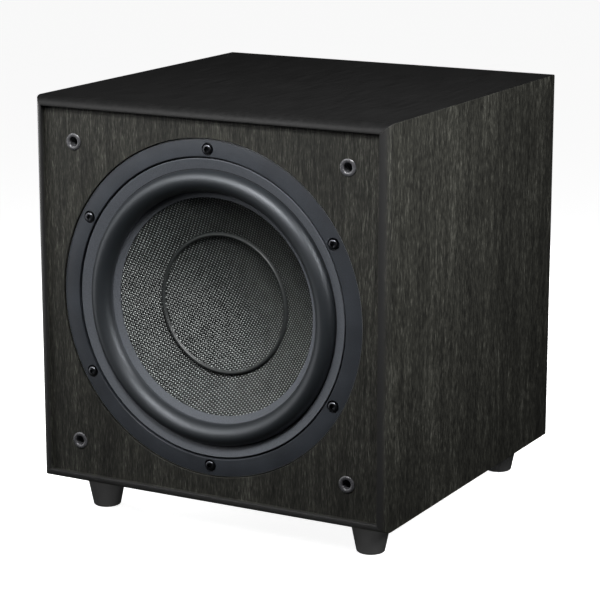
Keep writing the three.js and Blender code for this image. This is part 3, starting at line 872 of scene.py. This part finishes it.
# %% Cone
SKIN = 1.3               # thickness of the cone
CONE_LIP, CONE_TOP, CONE_CAP, CONE_NECK = (96.4, 14.1), (91.4, 16.7), (57.8, 31.8), (26.2, 46.2)
stretches = [(CONE_LIP, CONE_TOP, 2), (CONE_TOP, CONE_CAP, 10), (CONE_CAP, CONE_NECK, 8)]
cone_face = []
for (r0, d0), (r1, d1), steps in stretches:
    for k in range(steps):
        cone_face.append((r0 + (r1 - r0) * k / steps, d0 + (d1 - d0) * k / steps))
cone_face.append(CONE_NECK)
cone_profile = cone_face + [(r, d + SKIN) for r, d in reversed(cone_face)]
cone_shape = turned(cone_profile, 160, 0, FRONT, AXIS_Z)
woven = [piece("cone_skin", cone_shape, "woven_fibre", "cone_assembly", ["cone"], sharp=40)]
print("cone", round(CONE_NECK[1] - CONE_LIP[1], 1), "mm deep")

# %% Dust cap
BOWL = 43.0              # depth of its middle
bowl = [(56.0 * k / 24, BOWL - 12.0 * (k / 24) ** 2) for k in range(25)]
bead = []
for k in range(1, 12):
    angle = math.pi * k / 12
    bead.append((58.0 - 1.7 * math.cos(angle), 30.4 - 2.3 * math.sin(angle)))
cap_back = [(r, d + 1) for r, d in reversed(bowl)]
cap_profile = bowl + bead + [(59.8, 30.5), (60, 30.75), (58.1, 31.2)] + cap_back
cap_shape = turned(cap_profile, 160, 0, FRONT, AXIS_Z)
woven.append(piece("dust_cap_skin", cap_shape, "woven_fibre", "cone_assembly", ["dust_cap"], sharp=50))
print("cap", round(BOWL - bead[5][1], 1), "mm deep")

# %% Former and coil
former = [(25.4, 46), (25.9, 46), (25.9, 98), (25.4, 98)]
tube = turned(former, 96, 0, FRONT, AXIS_Z)
piece("coil_former_tube", tube, "coil_former_film", "cone_assembly", ["coil_former"])
winding = [(26.2, 71.5), (27.2, 71.5), (27.4, 71.7), (27.4, 97.3), (27.2, 97.5), (26.2, 97.5)]
coil = turned(winding, 96, 0, FRONT, AXIS_Z)
piece("voice_coil_winding", coil, "copper_wire", "cone_assembly", ["voice_coil"])
print("coil", winding[3][1] - winding[0][1], "mm long")

# %% [markdown]
# ## Wadding
# The wadding is a soft mat of fibre, so it is a lumpy slab with rounded edges, not a block. Two sheets of
# points, one above and one below, are moved by a smooth noise and drawn together at the border.

# %% A point of the wadding
LUMP = 2.5               # how far the lumps rise
SLAB_STEPS = (50, 46)
low, high = box("damping_wadding")


def slab_point(i, j, side):
    """A point of the upper sheet (side 1) or the lower one (side -1)."""
    u, v = i / SLAB_STEPS[0], j / SLAB_STEPS[1]
    x = low.x + (high.x - low.x) * u
    y = low.y + (high.y - low.y) * v
    edge = min(u, 1 - u, v, 1 - v) * 2
    swell = min(1.0, edge * 9) ** 0.5
    lumps = noise.noise(Vector((x * 0.03, y * 0.03, side * 7.0))) * LUMP
    thick = (high.z - low.z) / 2
    return (x, y, (low.z + high.z) / 2 + side * (thick * (0.35 + 0.65 * swell) - LUMP + min(LUMP, lumps)))


print("wadding", round(high.z - low.z, 1), "mm thick")

# %% Wadding
slab_points, slab_faces = [], []
across_count, along_count = SLAB_STEPS[0] + 1, SLAB_STEPS[1] + 1
for side in (-1, 1):
    slab_points += [slab_point(i, j, side) for i in range(across_count) for j in range(along_count)]
for side in (0, 1):
    first = side * across_count * along_count
    for i in range(SLAB_STEPS[0]):
        for j in range(SLAB_STEPS[1]):
            corner = first + i * along_count + j
            slab_faces.append((corner, corner + 1, corner + along_count + 1, corner + along_count))
last_i, last_j = SLAB_STEPS
border = [(i, 0) for i in range(last_i)] + [(last_i, j) for j in range(last_j)]
border += [(i, last_j) for i in range(last_i, 0, -1)] + [(0, j) for j in range(last_j, 0, -1)]
above = across_count * along_count
for (i, j), (m, n) in zip(border, border[1:] + border[:1]):
    a, b = i * along_count + j, m * along_count + n
    slab_faces.append((a, b, above + b, above + a))
mat = piece("damping_mat", (slab_points, slab_faces), "wadding", stands_for=["damping_wadding"], sharp=80)
print("wadding", len(mat.data.vertices), "points")

# %% [markdown]
# ## Speaker cable
# A thick two-core cable runs inside the box from the amplifier to the driver's terminals. It is too stiff
# and too short to hang, so it stands in a slight arch. Its route is a few listed points, and a smooth curve
# is led through them.

# %% A smooth route
ROUTE_STEPS = 6          # points between two corners


def smooth_route(corners):
    """Points on a curve that passes through every corner."""
    padded = [corners[0] * 2 - corners[1], *corners, corners[-1] * 2 - corners[-2]]
    route = []
    for a, b, c, d in zip(padded, padded[1:], padded[2:], padded[3:]):
        for k in range(ROUTE_STEPS):
            t = k / ROUTE_STEPS
            route.append(0.5 * (2 * b + (c - a) * t + (2 * a - 5 * b + 4 * c - d) * t ** 2
                                + (3 * b - a - 3 * c + d) * t ** 3))
    return [*route, corners[-1]]


cable_corners = [(79, -108, 276), (84, -90, 281), (100, -44, 285), (92, 26, 269), (74, 88, 249),
                 (66, 112, 237)]
cable_route = smooth_route([Vector(corner) * MM for corner in cable_corners])
cable_length = sum((b - a).length for a, b in zip(cable_route, cable_route[1:]))
print("cable", round(cable_length, 3), "m long")

# %% Speaker cable
CABLE = 4.8              # diameter
cable_line = bpy.data.curves.new("speaker_lead", "CURVE")
cable_line.dimensions = "3D"
cable_line.bevel_depth = CABLE / 2 * MM
cable_line.bevel_resolution = 4
cable_line.use_fill_caps = True
spline = cable_line.splines.new("POLY")
spline.points.add(len(cable_route) - 1)
for place, point in zip(cable_route, spline.points):
    point.co = (*place, 1)
cable_line.materials.append(finishes["cable_sheath"].material)
lead = bpy.data.objects.new("speaker_lead", cable_line)
bpy.context.scene.collection.objects.link(lead)
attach(lead, "cabinet")
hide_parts("speaker_cable")
print("cable with", len(cable_route), "points")

# %% [markdown]
# ## Knobs
# The knobs are moulded with shallow flutes for the fingers, so the lathe's radius is made to swing with the
# angle. A white line on each knob shows where it stands, and a metal shaft carries it.

# %% Shape of a knob
FLUTES = 24
FLUTE_DEPTH = 0.35


def flutes(angle, radius, distance):
    """How much wider the knob is at that angle. Only its side has flutes."""
    inside = 8.0 < radius and 7.2 < distance < 18.4
    return -FLUTE_DEPTH * (0.5 - 0.5 * math.cos(FLUTES * angle)) if inside else 0.0


knob_profile = [(0, 19), (5.5, 18.9), (7.9, 18.8), (8.4, 18.5), (8.7, 17.9), (9.0, 14), (9.35, 10),
                (9.6, 7.6), (10, 7.2), (10, 6.2), (9.8, 6), (3.8, 6), (3.3, 6.6), (3.3, 15.3), (0, 15.3)]
shaft_profile = [(0, -8.7), (3, -8.7), (3, 15), (0, 15)]
print("knobs with", FLUTES, "flutes")

# %% [markdown]
# ## Printed scales
# A scale of ticks and numbers goes round each knob. They could be an image on the plate, but thin shapes
# laid on it stay sharp. The numbers start as Blender's own text, which is turned into a mesh and mirrored
# to face backwards.

# %% Ticks and numbers


def bar(x, z, length, width, angle, low_y, high_y, start):
    """A flat bar that points away from (x, z) at an angle, from a radius called start."""
    dx, dz = math.sin(angle), math.cos(angle)
    half = width / 2
    points = []
    for level in (low_y, high_y):
        for reach, side in ((start, -half), (start, half), (start + length, half), (start + length, -half)):
            points.append((x - dx * reach + dz * side, level, z + dz * reach + dx * side))
    faces = [(0, 1, 2, 3), (4, 5, 6, 7), (0, 1, 5, 4), (1, 2, 6, 5), (2, 3, 7, 6), (3, 0, 4, 7)]
    return points, faces


def lettering(words):
    """Flat numbers that face backwards: words holds (text, x, z, height)."""
    shapes = []
    for text, x, z, height in words:
        curve = bpy.data.curves.new("number", "FONT")
        curve.body = text
        curve.size = height
        curve.align_x = "CENTER"
        curve.align_y = "CENTER"
        curve.extrude = 0.04
        writer = bpy.data.objects.new("number", curve)
        bpy.context.scene.collection.objects.link(writer)
        graph = bpy.context.evaluated_depsgraph_get()
        flat = bpy.data.meshes.new_from_object(writer.evaluated_get(graph))
        points = [(x - v.co.x, PLATE_FACE + 0.05 + v.co.z, z + v.co.y) for v in flat.vertices]
        shapes.append((points, [list(p.vertices) for p in flat.polygons]))
        bpy.data.objects.remove(writer)
    return shapes


print("ticks and numbers can be made")

# %% The scale round a knob


def scale_round(spot, numbers):
    """Eleven ticks from -150 to 150 degrees, with a number at every other one."""
    ticks, words = [], []
    for k in range(11):
        angle = math.radians(-150 + 30 * k)
        length = 2.2 if k % 2 == 0 else 1.3
        ticks.append(bar(spot.x, spot.z, length, 0.45, angle, PLATE_FACE, PLATE_FACE + 0.08, 12.0))
        if k % 2 == 0:
            across, up = spot.x - 17.4 * math.sin(angle), spot.z + 17.0 * math.cos(angle)
            words.append((numbers[k // 2], across, up, 3.4))
    return joined(ticks + lettering(words))


print("a scale has 11 ticks")

# %% Knobs and their scales
dials = {"volume": [str(n) for n in range(0, 11, 2)], "crossover": ["50", "70", "90", "110", "130", "150"]}
for name, numbers in dials.items():
    spot = middle(name + "_knob")
    body = name + "_dial"
    knob = turned(knob_profile, 144, spot.x, BACK_FACE, spot.z, grow=flutes)
    piece(name + "_knob_cap", knob, "knob_plastic", body, [name + "_knob"], sharp=35)
    line = bar(spot.x, spot.z, 6.4, 1.1, 0, BACK_FACE + 18.6, BACK_FACE + 19.02, 1.4)
    piece(name + "_pointer", line, "white_print", body)
    rod = turned(shaft_profile, 48, spot.x, BACK_FACE, spot.z)
    piece(name + "_shaft_rod", rod, "zinc_steel", body, [name + "_shaft"])
    piece(name + "_scale", scale_round(spot, numbers), "white_print")
print(len(dials), "knobs with scales")

# %% [markdown]
# ## Line inputs
# A line input is a gilded barrel with a coloured ring at its foot and an insert of the same colour in its
# mouth. The barrel's thread is drawn as plain grooves, because a screw thread this fine looks the same.

# %% Line inputs
for side, ring in (("left", "white_insulator"), ("right", "red_insulator")):
    spot = middle("line_input_" + side)
    out = PLATE_FACE - BACK_FACE + 0.3
    barrel = [(0, -10), (5, -10), (5, out), (6.6, out), (6.6, out + 1.7), (6.3, out + 2), (4.6, out + 2)]
    for k in range(8):
        barrel += [(4.05, out + 2.6 + k), (4.15, out + 2.9 + k), (4.15, out + 3.1 + k)]
    barrel += [(4.0, out + 10.5), (3.4, out + 10.5), (3.4, out + 3), (0, out + 3)]
    name = "line_input_" + side
    piece(name + "_barrel", turned(barrel, 48, spot.x, BACK_FACE, spot.z), "gold_plate", stands_for=[name])
    insert = [(1.7, out + 3), (3.3, out + 3), (3.3, out + 9.8), (1.9, out + 9.8), (1.7, out + 9.6)]
    piece(name + "_insert", turned(insert, 48, spot.x, BACK_FACE, spot.z), ring)
    washer = [(6.8, out - 0.3), (8.2, out - 0.3), (8.2, out + 0.5), (7.9, out + 0.8), (6.8, out + 0.8)]
    piece(name + "_washer", turned(washer, 48, spot.x, BACK_FACE, spot.z), ring)
print("line inputs", round(out + 10.5, 1), "mm beyond the back of the box")

# %% [markdown]
# ## Light, slide switches and inlet
# The power light is a small red dome in a black bezel. The sliders of the two switches have three ridges
# for a fingertip, and the mains inlet has three flat pins at its bottom. They are lathes and blocks, which
# ride on the bodies of the pieces that they belong to.

# %% Power light
spot = middle("power_light")
lens = [(0, -4), (3.4, -4), (3.4, 0), (2.4, 0), (2.4, 3.9)]
for k in range(1, 8):
    angle = math.radians(90) * k / 8
    lens.append((2.4 * math.cos(angle), 3.9 + 1.6 * math.sin(angle)))
lens.append((0, 5.5))
dome = turned(lens, 48, spot.x, BACK_FACE, spot.z)
piece("power_light_lens", dome, "power_lens", stands_for=["power_light"])
bezel = [(2.75, 3.3), (4.2, 3.3), (4.2, 3.9), (3.9, 4.2), (2.9, 4.2), (2.75, 4.0)]
piece("power_light_bezel", turned(bezel, 48, spot.x, BACK_FACE, spot.z), "black_plastic")
print("power light", 2 * lens[3][0], "mm wide")

# %% Ridges of the sliders and pins of the inlet
for node, body in (("phase_switch", "phase_slider"), ("power_mode_switch", "power_mode_slider")):
    spot = middle(node)
    top = box(node)[1].y
    ridges = []
    for k in range(3):
        start = spot.x - 1.5 + 1.2 * k
        ridges.append(block((start, top - 0.2, spot.z - 1.7), (start + 0.6, top + 0.35, spot.z + 1.7)))
    piece(node + "_ridges", joined(ridges), "black_plastic", body, edge=0.1)

inlet = middle("mains_inlet")
pins = []
for a, b in [(-7, 7), (7, 7), (0, 11.5)]:
    pins.append(block((inlet.x + a - 1.1, PLATE_FACE - 13.1, inlet.z + b - 2.1),
                      (inlet.x + a + 1.1, PLATE_FACE - 0.1, inlet.z + b + 2.1)))
piece("inlet_pins", joined(pins), "zinc_steel", edge=0.3)
print("ridges on two sliders,", len(pins), "pins")

# %% [markdown]
# ## Screws of the amplifier plate
# Ten pan-head screws hold the plate. Each is a low dome with a cross cut into it, one slot after the other,
# because slots that overlap would confuse the Boolean.

# %% Amplifier plate screws
INSET = 6                # from the edge of the plate to a screw
low, high = box("amplifier_plate")
pan = [(0, 2.1), (1.4, 2.0), (2.7, 1.6), (3.5, 0.9), (3.7, 0.2), (3.7, 0.0), (1.7, 0.0), (1.7, -11), (0, -11)]
spots = [(low.x + INSET, low.z + INSET + (high.z - low.z - 2 * INSET) * k / 3) for k in range(4)]
spots += [(high.x - INSET, b) for a, b in spots]
spots += [(0, low.z + INSET), (0, high.z - INSET)]
for k, (a, b) in enumerate(spots):
    slots = [block((a - 2.0, PLATE_FACE + 1.0, b - 0.45), (a + 2.0, PLATE_FACE + 4, b + 0.45)),
             block((a - 0.45, PLATE_FACE + 0.95, b - 2.0), (a + 0.45, PLATE_FACE + 4.1, b + 2.0))]
    head = turned(pan, 48, a, PLATE_FACE + 0.02, b)
    screw = piece(f"plate_screw_{k + 1}", head, "black_steel", tools=slots[:1])
    cut_away(screw, slots[1:])
print(len(spots), "screws in the plate")

# %% [markdown]
# ## Pieces that stay as they came
# The other nodes of the frame already have the right shape: boards, plates, blocks, the cast basket and the
# heatsink. They keep their meshes and get a finish, and those that show get a small rounding on their
# edges.

# %% Finishes and soft edges for the frame's own pieces
kept = {
    "bare_board": ["brace_bar"],
    "black_satin": ["back_panel"],
    "zinc_steel": ["top_plate", "pole_and_back_plate", "volume_control", "crossover_control"],
    "ferrite": ["magnet"],
    "cast_frame": ["basket"],
    "foam_gasket": ["gasket"],
    "black_plastic": ["terminal_block", "phase_switch", "power_mode_switch", "mains_switch_housing",
                      "mains_switch_rocker", "mains_inlet", "fuse_drawer"],
    "powder_coat": ["amplifier_plate"],
    "anodised_aluminium": ["heatsink"],
    "circuit_board": ["circuit_board"],
    "capacitor_sleeve": ["capacitor"],
    "winding_tape": ["transformer"],
}
kept["zinc_steel"] += [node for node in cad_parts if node.startswith("foot_screw_")]
EDGES = {"back_panel": 0.5, "amplifier_plate": 0.5, "heatsink": 0.3, "mains_switch_housing": 0.6,
         "mains_inlet": 0.6, "mains_switch_rocker": 0.5, "fuse_drawer": 0.4, "phase_switch": 0.3,
         "power_mode_switch": 0.3, "brace_bar": 0.8}
for finish, nodes in kept.items():
    for node in nodes:
        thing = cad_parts[node]
        thing.material_slots[0].material = finishes[finish].material
        if node in EDGES:
            soften(thing, EDGES[node])
print("kept", sum(len(nodes) for nodes in kept.values()), "nodes")

# %% [markdown]
# ## Floor
# The object stands on white paper in a white studio. Paper that is lit by lamps shows where their light
# ends, so this paper glows by itself. It doesn't light the object and can't be seen in it, which leaves
# that to the lamps.

# %% Floor
FLOOR = 12.0             # metres from the middle to the edge
floor_mesh = bpy.data.meshes.new("studio_floor")
corners = [(-FLOOR, -FLOOR, 0), (FLOOR, -FLOOR, 0), (FLOOR, FLOOR, 0), (-FLOOR, FLOOR, 0)]
floor_mesh.from_pydata(corners, [], [(0, 1, 2, 3)])
floor = bpy.data.objects.new("studio_floor", floor_mesh)
bpy.context.scene.collection.objects.link(floor)
paper = Finish("studio_paper", roughness=0.9, specular=0.1)
paper.colour(tint("f6f6f6"))
paper.shader.inputs["Emission Color"].default_value = tint("ffffff")
paper.shader.inputs["Emission Strength"].default_value = 0.93
floor_mesh.materials.append(paper.material)
floor.visible_diffuse = False
floor.visible_glossy = False
print("paper", 2 * FLOOR, "m wide")

# %% [markdown]
# ## Lamps
# The light comes from rectangular soft boxes. Those above the front and the right side have a grid, which
# keeps the light together, so that the front grows darker towards the floor. In Blender a lamp can be
# linked to some pieces only. One lights just the woven cone and its cap, and one just the feet and the
# bottom edge, where white paper would throw light up. The lamps behind leave out the top and the right
# side, which would mirror them. One of them has a twin that lights the top and isn't mirrored in it.

# %% A soft box


def soft_box(name, place, target, size, power, spread=180, only=(), never=(), gloss_only=False,
             matt_only=False):
    """A rectangular lamp. A narrow spread is the grid that keeps a real soft box's light together."""
    lamp = bpy.data.lights.new(name, "AREA")
    lamp.shape = "RECTANGLE"
    lamp.size, lamp.size_y = size
    lamp.energy = power
    lamp.spread = math.radians(spread)
    holder = bpy.data.objects.new(name, lamp)
    holder.location = place
    holder.rotation_euler = (Vector(target) - Vector(place)).to_track_quat("-Z", "Y").to_euler()
    holder.visible_camera = False
    holder.visible_diffuse = not gloss_only
    holder.visible_glossy = not matt_only
    bpy.context.scene.collection.objects.link(holder)
    if only or never:
        group = bpy.data.collections.new(name + "_receivers")
        for thing in (*only, *never):
            group.objects.link(thing)
        for entry in group.collection_objects:
            entry.light_linking.link_state = "INCLUDE" if only else "EXCLUDE"
        holder.light_linking.receiver_collection = group


print("soft boxes can be hung")

# %% Lamps in front
soft_box("front_box", (0.1, -0.75, 0.95), (0.0, -0.17, 0.32), (0.5, 0.2), 0.89, spread=50, never=woven)
soft_box("left_box", (-0.35, -0.95, 0.75), (0.0, -0.17, 0.30), (0.35, 0.25), 0.34, spread=50, never=woven)
soft_box("cone_box", (0.4, -0.62, 0.95), (0.1, -0.15, 0.25), (0.35, 0.35), 15, only=woven)
soft_box("right_box", (0.95, -0.2, 0.75), (0.165, -0.07, 0.30), (0.35, 0.25), 1.05, spread=50)
soft_box("left_window", (-0.8, -0.7, 0.9), (0.0, -0.17, 0.25), (0.6, 0.6), 3.5)
soft_box("left_card", (-1.3, -0.85, 0.2), (0.0, -0.17, 0.2), (0.9, 1.0), 4.0, gloss_only=True, never=woven)
soft_box("right_window", (0.6, 0.05, 1.0), (0.15, 0.0, 0.3), (0.35, 0.7), 2.4)
under = [*feet, wraps["bottom_panel"]]
soft_box("foot_glow", (0.25, -1.0, 0.12), (0.0, 0.0, 0.02), (1.2, 0.2), 6.0, only=under)
print("front lamps hung,", len(under), "pieces lit from below")

# %% Lamps behind
BACK_PLACE, BACK_AIM, BACK_SIZE = (-0.25, 1.3, 0.33), (-0.05, 0.15, 0.2), (0.8, 0.3)
mirrors = [wraps["top_panel"], wraps["right_panel"]]
soft_box("back_box", BACK_PLACE, BACK_AIM, BACK_SIZE, 8.0, spread=90, never=mirrors)
soft_box("back_rim_fill", BACK_PLACE, BACK_AIM, BACK_SIZE, 8.0, spread=90, only=mirrors[:1], matt_only=True)
soft_box("far_side_box", (-1.2, 0.15, 0.33), (-0.165, 0.0, 0.2), (0.6, 0.3), 3.0, spread=90, never=mirrors)
print(len(bpy.data.lights), "lamps in all")

# %% [markdown]
# ## Sky
# The sky has two jobs that don't go together: it has to be white behind the object, and to give hardly any
# light. A Light Path node tells the camera's own rays from all others, and a Mix node gives each its
# strength.

# %% Sky
SKY_LIGHT = 0.01         # what falls on the object
SKY_SEEN = 1.0           # what the camera sees
world = bpy.data.worlds.new("studio")
bpy.context.scene.world = world
world.use_nodes = True
nodes, links = world.node_tree.nodes, world.node_tree.links
seen = nodes.new("ShaderNodeLightPath")
shown = nodes.new("ShaderNodeMix")
shown.data_type = "FLOAT"
links.new(seen.outputs["Is Camera Ray"], shown.inputs[0])
shown.inputs[2].default_value = SKY_LIGHT
shown.inputs[3].default_value = SKY_SEEN
links.new(shown.outputs[0], nodes["Background"].inputs["Strength"])
nodes["Background"].inputs["Color"].default_value = (1, 1, 1, 1)
bpy.context.scene.view_settings.view_transform = "Standard"
print("sky ready")

# %% [markdown]
# ## Camera
# A long lens from some way off keeps the sides of the box nearly parallel, as in a catalogue. It stands to
# the right of the front and looks slightly down, so that the front, the right side and the top all show.

# %% Camera
AZIMUTH = math.radians(28.773)
TILT = math.radians(13.265)
lens_data = bpy.data.cameras.new("camera")
lens_data.sensor_width = 36
lens_data.lens = 139.31
lens_data.clip_end = 50
camera = bpy.data.objects.new("camera", lens_data)
camera.location = Vector((948.9, -1741.7, 638.2)) * MM
ahead = Vector((-math.sin(AZIMUTH) * math.cos(TILT), math.cos(AZIMUTH) * math.cos(TILT), -math.sin(TILT)))
camera.rotation_euler = ahead.to_track_quat("-Z", "Y").to_euler()
bpy.context.scene.collection.objects.link(camera)
bpy.context.scene.camera = camera
print("camera", round(camera.location.length, 2), "m away, lens", round(lens_data.lens), "mm")
